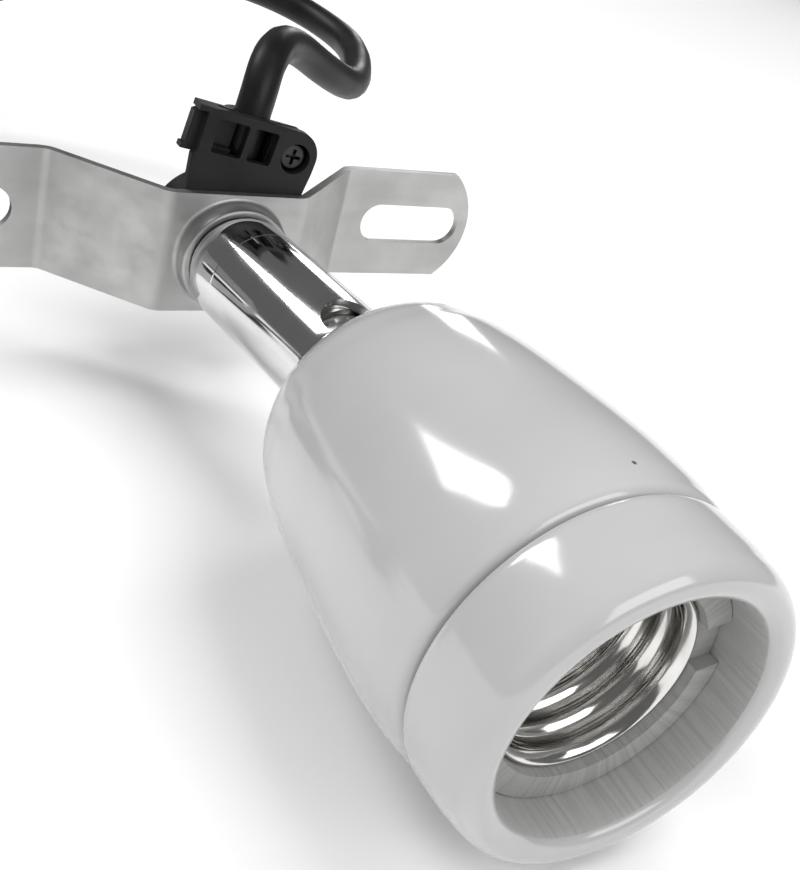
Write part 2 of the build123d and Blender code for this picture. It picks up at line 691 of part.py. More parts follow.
def terminal(side):
    """A brass terminal block behind the core, its wire hole along the lamp's axis."""
    with BuildPart() as block:
        with BuildSketch(lamp_plane.offset(terminal_rear)):
            with Locations((side * terminal_x, 0)):
                RectangleRounded(6.0, 6.4, 0.5)
        extrude(amount=terminal_len)
        with BuildSketch(lamp_plane.offset(terminal_rear)):
            with Locations((side * terminal_x, 0)):
                Circle(lead_radius + 0.1)
        extrude(amount=5.0, mode=Mode.SUBTRACT)
        with BuildSketch(Plane(origin=knuckle + Vector(side * (terminal_x + 3.0), 0, 0),
                               x_dir=(0, -1, 0), z_dir=(side, 0, 0))):
            with Locations((terminal_rear + 2.4, 0)):
                Circle(1.26)
        extrude(amount=-2.6, mode=Mode.SUBTRACT)
    return block


live_terminal = terminal(1)
finish(live_terminal, "live_terminal")
neutral_terminal = terminal(-1)
finish(neutral_terminal, "neutral_terminal")

with BuildPart() as terminal_screws:
    for side in (1, -1):
        with BuildSketch(Plane(origin=knuckle + Vector(side * (terminal_x + 3.0), 0, 0),
                               x_dir=(0, -1, 0), z_dir=(side, 0, 0))):
            with Locations((terminal_rear + 2.4, 0)):
                Circle(1.24)
        extrude(amount=-2.0)
        with BuildSketch(Plane(origin=knuckle + Vector(side * (terminal_x + 3.0), 0, 0),
                               x_dir=(0, -1, 0), z_dir=(side, 0, 0))):
            with Locations((terminal_rear + 2.4, 0)):
                Circle(2.0)
        extrude(amount=1.2)
finish(terminal_screws, "terminal_screws")

crown_inside = crown_at + crown_thick
with BuildPart() as crown_washer:
    with BuildSketch(lamp_plane.offset(crown_inside)):
        Circle(7.4)
        Circle(stem_radius + FIT, mode=Mode.SUBTRACT)
    extrude(amount=0.8)
finish(crown_washer, "crown_washer")

with BuildPart() as earth_tag:
    with BuildSketch(lamp_plane.offset(crown_inside + 0.8)):
        Circle(5.6)
        with Locations((0, 6.2)):
            Rectangle(3.4, 5.0)
        Circle(stem_radius + FIT, mode=Mode.SUBTRACT)
    extrude(amount=0.6)
finish(earth_tag, "earth_tag")

crown_nut = hex_nut(lamp_plane.offset(crown_inside + 1.4), 9.0, stem_radius + FIT, 3.4)
finish(crown_nut, "crown_nut")

# Live, neutral and earth leads from the stem's mouth to their terminals
lead_start = stem_end - 3.0
with BuildPart() as lamp_leads:
    lead_routes = (
        ((0.95, 0), (terminal_x, 0), terminal_rear + 0.5),
        ((-0.95, 0), (-terminal_x, 0), terminal_rear + 0.5),
    )
    for (x0, z0), (x1, z1), end in lead_routes:
        points = [knuckle + Vector(x0, -lead_start, z0),
                  knuckle + Vector(x0, -(stem_end + 1.8), z0),
                  knuckle + Vector(x1, -(end - 2.6), z1),
                  knuckle + Vector(x1, -end, z1)]
        with BuildLine() as lead_line:
            FilletPolyline(*points, radius=1.6)
        with BuildSketch(Plane(origin=points[0], z_dir=(0, -1, 0))):
            Circle(lead_radius)
        sweep(path=lead_line.line)
finish(lamp_leads, "lamp_leads")

# ---------------------------------------------------------------------------
# Supply leads inside the grip, where the cord's jacket is cut back
# ---------------------------------------------------------------------------
with BuildPart() as supply_leads:
    for dx in (-1.75, 0, 1.75):
        entry = grip_side * (cord_side + dx) + Vector(0, -cord_out, 0)
        points = [entry + grip_up * (jacket_end - FIT),
                  entry + grip_up * 13.4,
                  grip_side * (dx - 1.3) + grip_up * 9.2 + Vector(0, -4.3, 0),
                  Vector(dx, -4.3, 0),
                  Vector(dx, -11.0, 0)]
        with BuildLine() as supply_line:
            FilletPolyline(*points, radius=[1.2, 1.6, 1.2])
        with BuildSketch(Plane(origin=points[0], z_dir=-grip_up)):
            Circle(lead_radius)
        sweep(path=supply_line.line)
finish(supply_leads, "supply_leads")

# ---------------------------------------------------------------------------
# Cord: up out of the grip, over in a loop behind the plate, down to the surface
# ---------------------------------------------------------------------------
cord_entry = grip_side * cord_side + Vector(0, -cord_out, 0)
cord_points = [
    cord_entry + grip_up * jacket_end,
    cord_entry + grip_up * 24.6,
    (5.4, -6.4, 32.0),
    (13.4, 4.4, 32.3),
    (27.0, 12.8, 24.6),
    (38.5, 20.8, 19.6),
    (49.4, 44.0, 21.3),
    (47.5, 60.0, 22.6),
    (39.0, 71.0, 24.6),
    (29.0, 85.0, 24.0),
    (13.0, 98.0, 20.0),
    (-6.0, 106.0, 13.0),
    (-27.0, 109.0, 3.0),
    (-48.0, 108.0, -7.5),
    (coil_x + 14.0, coil_y + coil_mean - 0.5, -15.5),
]


def corner_radii(points):
    """The largest tangent arcs that the runs leave room for, one at each corner."""
    radii = []
    for before, here, after in zip(points, points[1:], points[2:]):
        run_in = Vector(here) - Vector(before)
        run_out = Vector(after) - Vector(here)
        turn = radians(run_in.get_angle(run_out))
        radii.append(0.45 * min(run_in.length, run_out.length) / tan(turn / 2))
    return radii


def cord_tube(points):
    """A round tube along straight runs joined by tangent arcs."""
    radii = corner_radii(points)
    with BuildPart() as tube:
        with BuildLine() as path:
            FilletPolyline(*points, radius=radii)
        with BuildSketch(Plane(origin=points[0], z_dir=path.line % 0)):
            Circle(cord_d / 2)
        sweep(path=path.line)
    return tube


supply_cord = cord_tube(cord_points)
finish(supply_cord, "supply_cord")

with BuildPart() as cord_coil:
    coil_mid = (coil_bottom + coil_top) / 2
    with BuildSketch(Plane(origin=(coil_x, coil_y, 0), x_dir=(1, 0, 0), z_dir=(0, -1, 0))):
        with Locations((coil_mean, coil_mid)):
            RectangleRounded(2 * coil_half_width, coil_top - coil_bottom, 3.0)
    revolve(axis=Axis((coil_x, coil_y, 0), (0, 0, 1)))
finish(cord_coil, "cord_coil")

tie_thick = 0.7
tie_gap = 0.4
with BuildPart() as coil_tie:
    with BuildSketch(Plane(origin=(coil_x, coil_y - 4, 0), x_dir=(1, 0, 0), z_dir=(0, -1, 0))):
        with Locations((coil_mean, coil_mid)):
            RectangleRounded(2 * (coil_half_width + tie_gap + tie_thick),
                             coil_top - coil_bottom + 2 * tie_thick + 0.04, 3.4)
            RectangleRounded(2 * (coil_half_width + tie_gap),
                             coil_top - coil_bottom + 0.04, 3.0, mode=Mode.SUBTRACT)
    extrude(amount=-8)
finish(coil_tie, "coil_tie")

# ---------------------------------------------------------------------------
# Plug: moulded body with a tapered strain relief, two pins and earth clips
# ---------------------------------------------------------------------------
plug_radius = 16.5
plug_x = coil_x - coil_mean - 6.0
plug_z = floor_z + plug_radius
relief_back = 30.0
relief_len = 24.0
plug_back = relief_back - relief_len
plug_front = plug_back - 32.0
plug_section = Plane(origin=(plug_x, 0, plug_z), x_dir=(1, 0, 0), z_dir=(0, 0, 1))
plug_axis = Axis((plug_x, 0, plug_z), (0, 1, 0))

tail_points = [
    (plug_x, coil_y - 1.0, -17.6),
    (plug_x, coil_y - 14.0, -16.0),
    (plug_x, relief_back + 9.0, plug_z - 1.0),
    (plug_x, relief_back, plug_z),
]
cord_tail = cord_tube(tail_points)
finish(cord_tail, "cord_tail")

with BuildPart() as plug_strain_relief:
    with BuildSketch(plug_section):
        with BuildLine():
            Polyline((0, relief_back - 6.0), (cord_d / 2 + FIT, relief_back - 6.0),
                     (cord_d / 2 + FIT, relief_back),
                     (cord_d / 2 + 1.0, relief_back), (cord_d / 2 + 2.8, plug_back + FIT),
                     (0, plug_back + FIT), close=True)
        make_face()
    revolve(axis=plug_axis)
finish(plug_strain_relief, "plug_strain_relief")

with BuildPart() as plug_body:
    with BuildSketch(plug_section):
        with BuildLine():
            Polyline((0, plug_back), (8.0, plug_back))
            Spline((8.0, plug_back), (11.0, plug_back - 8.0), (12.6, plug_back - 16.0),
                   (plug_radius, plug_back - 21.0), tangents=[(0.5, -1), (0.3, -1)])
            Polyline((plug_radius, plug_back - 21.0), (plug_radius, plug_front), (0, plug_front),
                     (0, plug_back))
        make_face()
    revolve(axis=plug_axis)
    fillet(plug_body.edges().filter_by(GeomType.CIRCLE).sort_by(Axis.Y)[0], 1.2)
    pin_plane = Plane(origin=(plug_x, plug_front, plug_z), x_dir=(1, 0, 0), z_dir=(0, -1, 0))
    with BuildSketch(pin_plane):
        with GridLocations(19, 0, 2, 1):
            Circle(2.42)
    extrude(amount=-8, mode=Mode.SUBTRACT)
    # grooves for the earth clips, top and bottom
    with BuildSketch(pin_plane):
        with GridLocations(0, 2 * plug_radius, 1, 2):
            Rectangle(6.0, 4.4)
    extrude(amount=-12, mode=Mode.SUBTRACT)
finish(plug_body, "plug_body")

with BuildPart() as plug_pins:
    with BuildSketch(pin_plane.offset(-7.9)):
        with GridLocations(19, 0, 2, 1):
            Circle(2.4)
    extrude(amount=7.9 + 19)
    tips = plug_pins.edges().filter_by(GeomType.CIRCLE).group_by(Axis.Y)[0]
    fillet(tips, 1.4)
finish(plug_pins, "plug_pins")

with BuildPart() as plug_earth_clips:
    with BuildSketch(pin_plane.offset(-11.9)):
        with GridLocations(0, 2 * plug_radius - 2.8, 1, 2):
            Rectangle(4.8, 1.2)
    extrude(amount=11.4)
finish(plug_earth_clips, "plug_earth_clips")
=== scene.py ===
import bpy
import json
from math import asin, cos, degrees, pi, radians, sin, sqrt
from mathutils import Matrix, Vector


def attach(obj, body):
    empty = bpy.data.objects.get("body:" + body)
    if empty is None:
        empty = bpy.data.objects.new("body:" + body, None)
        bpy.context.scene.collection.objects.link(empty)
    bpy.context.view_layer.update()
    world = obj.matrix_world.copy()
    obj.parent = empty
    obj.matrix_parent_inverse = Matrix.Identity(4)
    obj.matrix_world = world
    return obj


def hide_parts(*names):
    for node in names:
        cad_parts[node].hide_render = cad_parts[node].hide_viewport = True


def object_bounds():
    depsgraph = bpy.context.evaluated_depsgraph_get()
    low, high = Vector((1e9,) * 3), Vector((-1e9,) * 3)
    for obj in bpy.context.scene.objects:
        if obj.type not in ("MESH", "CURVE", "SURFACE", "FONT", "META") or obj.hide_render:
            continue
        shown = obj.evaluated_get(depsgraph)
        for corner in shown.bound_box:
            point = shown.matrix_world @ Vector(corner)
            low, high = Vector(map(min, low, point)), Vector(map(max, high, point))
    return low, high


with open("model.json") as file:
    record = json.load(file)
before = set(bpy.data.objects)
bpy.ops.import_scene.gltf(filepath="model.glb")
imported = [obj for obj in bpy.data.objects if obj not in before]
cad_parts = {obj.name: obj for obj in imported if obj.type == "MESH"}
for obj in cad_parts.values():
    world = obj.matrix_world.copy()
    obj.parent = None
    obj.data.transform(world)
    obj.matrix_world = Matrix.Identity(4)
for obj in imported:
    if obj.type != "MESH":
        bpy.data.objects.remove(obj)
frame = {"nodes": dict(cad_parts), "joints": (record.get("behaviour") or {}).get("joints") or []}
cad_box = [list(corner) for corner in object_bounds()]


# ---------------------------------------------------------------------------
# Strip bracket.  Zinc-plated mild steel, blanked with two long slots, pressed up
# round the arm's ball in the middle and bent into a low hat that screws to a beam.
# ---------------------------------------------------------------------------
def shader(name):
    """A new material with its Principled shader and Object coordinates."""
    material = bpy.data.materials.new(name)
    material.use_nodes = True
    nodes = material.node_tree.nodes
    coordinates = nodes.new("ShaderNodeTexCoord")
    links = material.node_tree.links
    return material, nodes, links, nodes["Principled BSDF"], coordinates.outputs["Object"]


def noise(nodes, links, place, scale, detail, stretch=(1, 1, 1)):
    """Noise over the piece, stretched along its axes."""
    mapping = nodes.new("ShaderNodeMapping")
    mapping.inputs["Scale"].default_value = stretch
    links.new(place, mapping.inputs["Vector"])
    texture = nodes.new("ShaderNodeTexNoise")
    texture.inputs["Scale"].default_value = scale
    texture.inputs["Detail"].default_value = detail
    links.new(mapping.outputs["Vector"], texture.inputs["Vector"])
    return texture.outputs["Fac"]


def spread(nodes, links, value, low, high, to_low, to_high):
    """Maps a value's range to another."""
    remap = nodes.new("ShaderNodeMapRange")
    remap.inputs["From Min"].default_value = low
    remap.inputs["From Max"].default_value = high
    remap.inputs["To Min"].default_value = to_low
    remap.inputs["To Max"].default_value = to_high
    links.new(value, remap.inputs["Value"])
    return remap.outputs["Result"]


def blend_colours(nodes, links, value, first, second):
    """Mixes two colours by a value."""
    mix = nodes.new("ShaderNodeMix")
    mix.data_type = "RGBA"
    mix.inputs["A"].default_value = (*first, 1)
    mix.inputs["B"].default_value = (*second, 1)
    links.new(value, mix.inputs["Factor"])
    return mix.outputs["Result"]


def raise_surface(nodes, links, shade, height, distance):
    """Bump from a height."""
    bump = nodes.new("ShaderNodeBump")
    bump.inputs["Distance"].default_value = distance
    bump.inputs["Strength"].default_value = 1.0
    links.new(height, bump.inputs["Height"])
    links.new(bump.outputs["Normal"], shade.inputs["Normal"])


def metal(name, bright, dark, smooth, rough, grain_scale, stretch, bump_height):
    """Plated or bare metal with a mottled colour, uneven polish and fine grain."""
    material, nodes, links, shade, place = shader(name)
    shade.inputs["Metallic"].default_value = 1.0
    mottle = noise(nodes, links, place, 90, 4)
    grain = noise(nodes, links, place, grain_scale, 3, stretch)
    patch = spread(nodes, links, mottle, 0.35, 0.65, 0, 1)
    links.new(blend_colours(nodes, links, patch, bright, dark), shade.inputs["Base Color"])
    links.new(spread(nodes, links, grain, 0.3, 0.7, smooth, rough), shade.inputs["Roughness"])
    raise_surface(nodes, links, shade, grain, bump_height)
    return material


merge_distance = 0.000002


def merged_copy(node, name, body, material, crease=35):
    """The node's own shape with its triangles joined, so that it shades smoothly."""
    bpy.ops.object.select_all(action="DESELECT")
    piece = bpy.data.objects.new(name, frame["nodes"][node].data.copy())
    bpy.context.scene.collection.objects.link(piece)
    piece.data.materials.clear()
    piece.data.materials.append(material)
    bpy.context.view_layer.objects.active = piece
    piece.select_set(True)
    bpy.ops.object.mode_set(mode="EDIT")
    bpy.ops.mesh.select_all(action="SELECT")
    bpy.ops.mesh.customdata_custom_splitnormals_clear()
    bpy.ops.mesh.remove_doubles(threshold=merge_distance)
    bpy.ops.mesh.tris_convert_to_quads(face_threshold=radians(1), shape_threshold=radians(180))
    bpy.ops.object.mode_set(mode="OBJECT")
    bpy.ops.object.shade_smooth_by_angle(angle=radians(crease))
    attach(piece, body)
    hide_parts(node)
    return piece


strip_steel = metal("zinc_plated_strip", (0.56, 0.56, 0.555), (0.47, 0.47, 0.465), 0.40, 0.54, 400,
                    (0.06, 1, 1), 0.000012)
merged_copy("mounting_bracket", "strip_bracket", "bracket", strip_steel, 25)


# ---------------------------------------------------------------------------
# Cord grip.  Black moulded nylon: a plate clamped behind the strip, a latched shell
# that a cross-head screw pulls onto the cord's jacket, and a rear cover.
# ---------------------------------------------------------------------------
def moulded(name, colour, highlight, smooth, rough, grain_scale, bump_height):
    """Moulded plastic or rubber with a fine grain and slightly uneven gloss."""
    material, nodes, links, shade, place = shader(name)
    cloud = noise(nodes, links, place, 140, 3)
    grain = noise(nodes, links, place, grain_scale, 2)
    shade.inputs["Specular IOR Level"].default_value = 0.28
    tone = spread(nodes, links, cloud, 0.35, 0.65, 0, 1)
    links.new(blend_colours(nodes, links, tone, colour, highlight), shade.inputs["Base Color"])
    links.new(spread(nodes, links, cloud, 0.3, 0.7, smooth, rough), shade.inputs["Roughness"])
    raise_surface(nodes, links, shade, grain, bump_height)
    return material


grip_plastic = moulded("black_grip_plastic", (0.008, 0.008, 0.009), (0.014, 0.014, 0.015), 0.34, 0.48,
                       2600, 0.00002)
merged_copy("cord_grip_body", "grip_box", "bracket", grip_plastic)
merged_copy("cord_grip_cover", "grip_cover", "bracket", grip_plastic)
merged_copy("cord_clamp_shell", "clamp_shell", "bracket", grip_plastic)
screw_steel = metal("zinc_plated_screw", (0.62, 0.62, 0.60), (0.48, 0.48, 0.46), 0.25, 0.42, 900,
                    (1, 1, 1), 0.00001)
blackened_steel = metal("blackened_screw", (0.07, 0.07, 0.07), (0.04, 0.04, 0.04), 0.32, 0.5, 900,
                        (1, 1, 1), 0.00001)
merged_copy("cord_grip_screw", "grip_screw", "bracket", blackened_steel)


# ---------------------------------------------------------------------------
# Hollow nipple and its nuts and washers.  Zinc-plated steel turnings that pull
# the grip, the bracket's seat and the upper ball washer together.
# ---------------------------------------------------------------------------
def coat(material, *nodes):
    """Gives carried-over parts a finish."""
    for node in nodes:
        mesh = frame["nodes"][node].data
        mesh.materials.clear()
        mesh.materials.append(material)


coat(screw_steel, "upper_nipple", "lock_washer", "lock_nut", "upper_nut", "ball_washer")
spring_steel = metal("blued_spring_steel", (0.34, 0.34, 0.36), (0.22, 0.21, 0.22), 0.2, 0.38, 800,
                     (1, 1, 1), 0.000006)
coat(spring_steel, "spring_washer")
lead_plastic = moulded("lead_insulation", (0.05, 0.025, 0.012), (0.07, 0.035, 0.018), 0.4, 0.55,
                       1500, 0.00001)
coat(lead_plastic, "supply_leads")


# ---------------------------------------------------------------------------
# Supply cord.  Three cores in a soft black rubber jacket, 6.4 mm thick.  It rises
# out of the grip, loops back and lies down in a tied coil beside its plug.
# ---------------------------------------------------------------------------
MM = 0.001
cord_thick = 6.4 * MM
cord_route = [
    (1.08, -11.0, 16.46), (2.50, -11.0, 24.54), (5.4, -6.4, 32.0), (13.4, 4.4, 32.3),
    (27.0, 12.8, 24.6), (38.5, 20.8, 19.6), (49.4, 44.0, 21.3), (47.5, 60.0, 22.6),
    (39.0, 71.0, 24.6), (29.0, 85.0, 24.0), (13.0, 98.0, 20.0), (-6.0, 106.0, 13.0),
    (-27.0, 109.0, 3.0), (-48.0, 108.0, -6.0), (-66.0, 104.5, -9.6),
]
# each turn of the coil: its radius and height, from the first laid to the last
coil_turns = [(36.0, -10.1), (30.0, -10.0), (32.8, -15.2), (39.4, -15.2), (29.8, -20.1),
              (36.2, -20.1), (42.4, -20.1)]
coil_x, coil_y = -80.0, 68.0
points_per_turn = 16
first_step = 4                      # a quarter turn round from +X
crossing = 0.25                     # share of a turn in which the cord moves to its next turn
pull_out = 1.01                     # the curve runs a little inside its points
last_step = first_step + points_per_turn * len(coil_turns) + 4
for step in range(first_step + 1, last_step):
    done = (step - first_step) / points_per_turn
    turn = min(int(done), len(coil_turns) - 1)
    part_done = done - turn
    radius, height = coil_turns[turn]
    if turn + 1 < len(coil_turns) and part_done > 1 - crossing:
        share = (part_done - (1 - crossing)) / crossing
        radius += share * (coil_turns[turn + 1][0] - radius)
        height += share * (coil_turns[turn + 1][1] - height)
    round_to = 2 * pi * step / points_per_turn
    reach = pull_out * radius
    cord_route.append((coil_x + reach * cos(round_to), coil_y + reach * sin(round_to), height))
cord_route += [(-122.0, 54.0, -16.5), (-122.0, 39.0, -9.2), (-122.0, 31.0, -7.8), (-122.0, 24.4, -7.7)]

cord_curve = bpy.data.curves.new("cord", "CURVE")
cord_curve.dimensions = "3D"
cord_curve.bevel_depth = cord_thick / 2
cord_curve.bevel_resolution = 5
cord_curve.resolution_u = 6
cord_curve.use_fill_caps = True
cord_line = cord_curve.splines.new("NURBS")
cord_line.points.add(len(cord_route) - 1)
for point, place in zip(cord_line.points, cord_route):
    point.co = (place[0] * MM, place[1] * MM, place[2] * MM, 1)
cord_line.order_u = 3
cord_line.use_endpoint_u = True
cord = bpy.data.objects.new("cord", cord_curve)
bpy.context.scene.collection.objects.link(cord)
cord_rubber = moulded("cord_rubber", (0.007, 0.007, 0.007), (0.012, 0.012, 0.012), 0.36, 0.5,
                      1800, 0.000015)
cord_curve.materials.append(cord_rubber)
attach(cord, "bracket")
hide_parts("supply_cord", "cord_coil", "cord_tail")


# ---------------------------------------------------------------------------
# Plug.  A moulded rubber two-pin plug with plated pins and side earth clips, a
# tapered strain relief, and the strap that ties the coil.
# ---------------------------------------------------------------------------
plug_rubber = moulded("plug_rubber", (0.012, 0.012, 0.012), (0.02, 0.02, 0.02), 0.45, 0.6, 1400, 0.00003)
plated_pin = metal("plated_pin", (0.72, 0.71, 0.68), (0.62, 0.61, 0.58), 0.14, 0.28, 900,
                   (1, 0.05, 1), 0.000004)
plug = merged_copy("plug_body", "plug", "bracket", plug_rubber)
relief = merged_copy("plug_strain_relief", "strain_relief", "bracket", plug_rubber)
pins = merged_copy("plug_pins", "pins", "bracket", plated_pin)
clips = merged_copy("plug_earth_clips", "earth_clips", "bracket", plated_pin)
tie = merged_copy("coil_tie", "tie", "bracket", grip_plastic)


# ---------------------------------------------------------------------------
# Arm.  A domed cap screwed into a slotted tube, both chromed brass, with the
# pressure cup, disc springs and circlip that load the lower ball.
# ---------------------------------------------------------------------------
def turned(name, stations, sides=96):
    """A turned piece: a ring extruded from station to station, (radius, height) in mm."""
    bpy.ops.object.select_all(action="DESELECT")
    radius, height = stations[0]
    bpy.ops.mesh.primitive_circle_add(vertices=sides, radius=radius * MM, location=(0, 0, height * MM))
    piece = bpy.context.object
    piece.name = name
    bpy.ops.object.mode_set(mode="EDIT")
    bpy.ops.mesh.select_all(action="SELECT")
    for next_radius, next_height in stations[1:]:
        rise = (0, 0, (next_height - height) * MM)
        bpy.ops.mesh.extrude_region_move(TRANSFORM_OT_translate={"value": rise})
        grow = next_radius / radius
        bpy.ops.transform.resize(value=(grow, grow, 1), center_override=(0, 0, next_height * MM))
        radius, height = next_radius, next_height
    bpy.ops.mesh.select_all(action="DESELECT")
    bpy.ops.mesh.select_non_manifold()
    bpy.ops.mesh.bridge_edge_loops()
    bpy.ops.mesh.select_all(action="SELECT")
    bpy.ops.mesh.normals_make_consistent(inside=False)
    bpy.ops.object.mode_set(mode="OBJECT")
    return piece


def set_down(piece, place, direction, crease=40):
    """Puts a turned piece at its place, its axis along a direction, and applies that."""
    turn = Vector((0, 0, 1)).rotation_difference(direction)
    piece.matrix_world = Matrix.Translation(place) @ turn.to_matrix().to_4x4() @ piece.matrix_world
    bpy.ops.object.select_all(action="DESELECT")
    piece.select_set(True)
    bpy.context.view_layer.objects.active = piece
    bpy.ops.object.transform_apply(location=True, rotation=True, scale=True)
    bpy.ops.object.shade_smooth_by_angle(angle=radians(crease))


def arc(centre_height, radius, start, end, steps):
    """Stations round a ball: angles in degrees from the axis' far side."""
    found = []
    for i in range(steps + 1):
        at = radians(start + (end - start) * i / steps)
        found.append((radius * sin(at), centre_height - radius * cos(at)))
    return found


joint_place = {joint["name"]: Vector(joint["pos_m"]) for joint in frame["joints"] if "pos_m" in joint}
ball = joint_place["arm_lean"]
knuckle = joint_place["head_tilt"]
arm_line = (knuckle - ball).normalized()
arm_radius, bore = 9.4, 8.0
chrome = metal("chrome_plate", (0.80, 0.80, 0.81), (0.74, 0.74, 0.75), 0.05, 0.13, 60,
               (1, 1, 1), 0.000004)

cap_hole = 5.9
cap_skirt = 4.5
cap_thread = 8.75
cap_step = 0.5                      # inner ledge, before the ball's middle
outer_hole_angle = degrees(asin(cap_hole / arm_radius))
inner_hole_angle = degrees(asin(cap_hole / bore))
ledge_angle = degrees(asin(sqrt(bore**2 - cap_step**2) / bore))
cap_stations = arc(0, arm_radius, outer_hole_angle, 90, 14)
cap_stations += [(arm_radius, cap_skirt - 0.2), (arm_radius - 0.2, cap_skirt),
                 (cap_thread, cap_skirt), (cap_thread, -cap_step)]
cap_stations += arc(0, bore, ledge_angle, inner_hole_angle, 10)
dome_cap = turned("domed_cap", cap_stations)
set_down(dome_cap, ball, arm_line)
dome_cap.data.materials.append(chrome)
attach(dome_cap, "arm")
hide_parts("dome_cap")

merged_copy("swivel_tube", "slotted_tube", "arm", chrome)
coat(screw_steel, "pressure_cup")
coat(spring_steel, "disc_springs", "retaining_ring")


# ---------------------------------------------------------------------------
# Ball stem.  A zinc-plated steel ball and hollow stem, pulled up into the
# porcelain's crown by a nut, with a thin collar under the crown.
# ---------------------------------------------------------------------------
merged_copy("ball_stem", "swivel_stem", "lamp_head", screw_steel)
coat(screw_steel, "stem_collar", "crown_washer", "crown_nut", "core_screws", "terminal_screws")


# ---------------------------------------------------------------------------
# Porcelain dome and ring.  Slip-pressed and fired white porcelain with a clear
# glaze outside; the ring screws over the dome's spigot at a fine dark seam.
# ---------------------------------------------------------------------------
def eased(points, steps):
    """More stations on a smooth line through the given ones."""
    ends = [points[0]] + points + [points[-1]]
    found = []
    for before, here, after, beyond in zip(ends, ends[1:], ends[2:], ends[3:]):
        for i in range(steps):
            t = i / steps
            found.append(tuple(
                0.5 * (2 * b + (c - a) * t + (2 * a - 5 * b + 4 * c - d) * t**2
                       + (3 * b - a - 3 * c + d) * t**3)
                for a, b, c, d in zip(before, here, after, beyond)))
    found.append(points[-1])
    return found


def glaze(name, colour, shadow):
    """White glaze: glossy, very slightly uneven, with a few dark pinholes."""
    material, nodes, links, shade, place = shader(name)
    shade.inputs["Roughness"].default_value = 0.14
    shade.inputs["IOR"].default_value = 1.52
    shade.inputs["Coat Weight"].default_value = 0.6
    shade.inputs["Coat Roughness"].default_value = 0.10
    cloud = spread(nodes, links, noise(nodes, links, place, 45, 3), 0.35, 0.65, 0, 1)
    body = blend_colours(nodes, links, cloud, colour, shadow)
    pinholes = nodes.new("ShaderNodeTexVoronoi")
    pinholes.inputs["Scale"].default_value = 70
    links.new(place, pinholes.inputs["Vector"])
    speck = spread(nodes, links, pinholes.outputs["Distance"], 0.018, 0.03, 1, 0)
    mix = nodes.new("ShaderNodeMix")
    mix.data_type = "RGBA"
    links.new(speck, mix.inputs["Factor"])
    links.new(body, mix.inputs["A"])
    mix.inputs["B"].default_value = (0.10, 0.08, 0.06, 1)
    links.new(mix.outputs["Result"], shade.inputs["Base Color"])
    raise_surface(nodes, links, shade, noise(nodes, links, place, 110, 2), 0.00003)
    return material


def bisque(name, colour, shadow, centre):
    """Unglazed porcelain with fine ribs along the lamp's axis, left by the mould."""
    material, nodes, links, shade, place = shader(name)
    split = nodes.new("ShaderNodeSeparateXYZ")
    shift = nodes.new("ShaderNodeMapping")
    shift.inputs["Location"].default_value = (-centre.x, 0, -centre.z)
    links.new(place, shift.inputs["Vector"])
    links.new(shift.outputs["Vector"], split.inputs["Vector"])
    angle = nodes.new("ShaderNodeMath")
    angle.operation = "ARCTAN2"
    links.new(split.outputs["Z"], angle.inputs[0])
    links.new(split.outputs["X"], angle.inputs[1])
    ribs = nodes.new("ShaderNodeCombineXYZ")
    links.new(angle.outputs[0], ribs.inputs["X"])
    links.new(split.outputs["Y"], ribs.inputs["Y"])
    streak = noise(nodes, links, ribs.outputs["Vector"], 34, 3, (1, 2, 1))
    tone = spread(nodes, links, streak, 0.35, 0.65, 0, 1)
    links.new(blend_colours(nodes, links, tone, colour, shadow), shade.inputs["Base Color"])
    shade.inputs["Roughness"].default_value = 0.7
    raise_surface(nodes, links, shade, streak, 0.0003)
    return material


lamp_line = Vector((0, -1, 0))
porcelain = glaze("glazed_porcelain", (0.50, 0.50, 0.50), (0.47, 0.47, 0.47))
bare_clay = bisque("bare_porcelain", (0.44, 0.44, 0.43), (0.37, 0.37, 0.36), knuckle)

crown_at, seam_at, mouth_at = 10.0, 64.4, 77.0     # stations from the lower ball
stem_hole = 3.1
outside = eased([(11.0, crown_at), (14.6, 10.8), (17.4, 12.6), (19.6, 16.0), (20.7, 20.0), (21.6, 24.2),
                 (22.6, 32.2), (23.5, 43.0), (23.9, 52.0), (23.7, 59.0), (23.2, 62.5)], 6)
lower_edge = [(23.1, 63.1), (22.85, 63.6), (22.5, 63.95), (22.0, seam_at - 0.2), (20.0, seam_at - 0.2)]
inside = [(17.0, seam_at - 0.2), (17.0, 40.0), (17.0, 34.0), (16.6, 28.0), (15.5, 22.5),
          (14.1, 18.4), (12.6, 15.6), (8.0, 15.6), (stem_hole, 15.6), (stem_hole, 13.0)]
crown = [(stem_hole, crown_at), (6.0, crown_at)]
dome = turned("porcelain_dome", crown + outside + lower_edge + inside, 128)
set_down(dome, knuckle, lamp_line, 30)
dome.data.materials.append(porcelain)
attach(dome, "lamp_head")
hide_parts("ceramic_dome")

ring_rear = seam_at + 0.2
mouth_radius, shoulder_at, spigot_radius = 17.5, 67.1, 16.8
ring_outside = [(22.2, ring_rear), (22.55, ring_rear + 0.12), (22.8, ring_rear + 0.38),
                (22.95, ring_rear + 0.8)]
ring_outside += eased([(23.0, ring_rear + 1.3), (22.95, 68.2), (22.75, 71.4), (22.4, 73.6)], 4)
ring_outside += eased([(22.25, 74.5), (21.75, 75.7), (20.8, 76.7), (19.6, mouth_at), (18.6, 76.75),
                       (17.8, 76.1), (mouth_radius, 75.0)], 4)
ring_inside = [(mouth_radius, 72.0), (mouth_radius, 69.5), (mouth_radius, shoulder_at),
               (16.6, shoulder_at), (15.6, shoulder_at), (15.6, 62.0), (15.6, 58.0),
               (spigot_radius, 58.0), (spigot_radius, ring_rear), (19.5, ring_rear)]
ring = turned("porcelain_ring", ring_outside + ring_inside, 128)
set_down(ring, knuckle, lamp_line, 30)
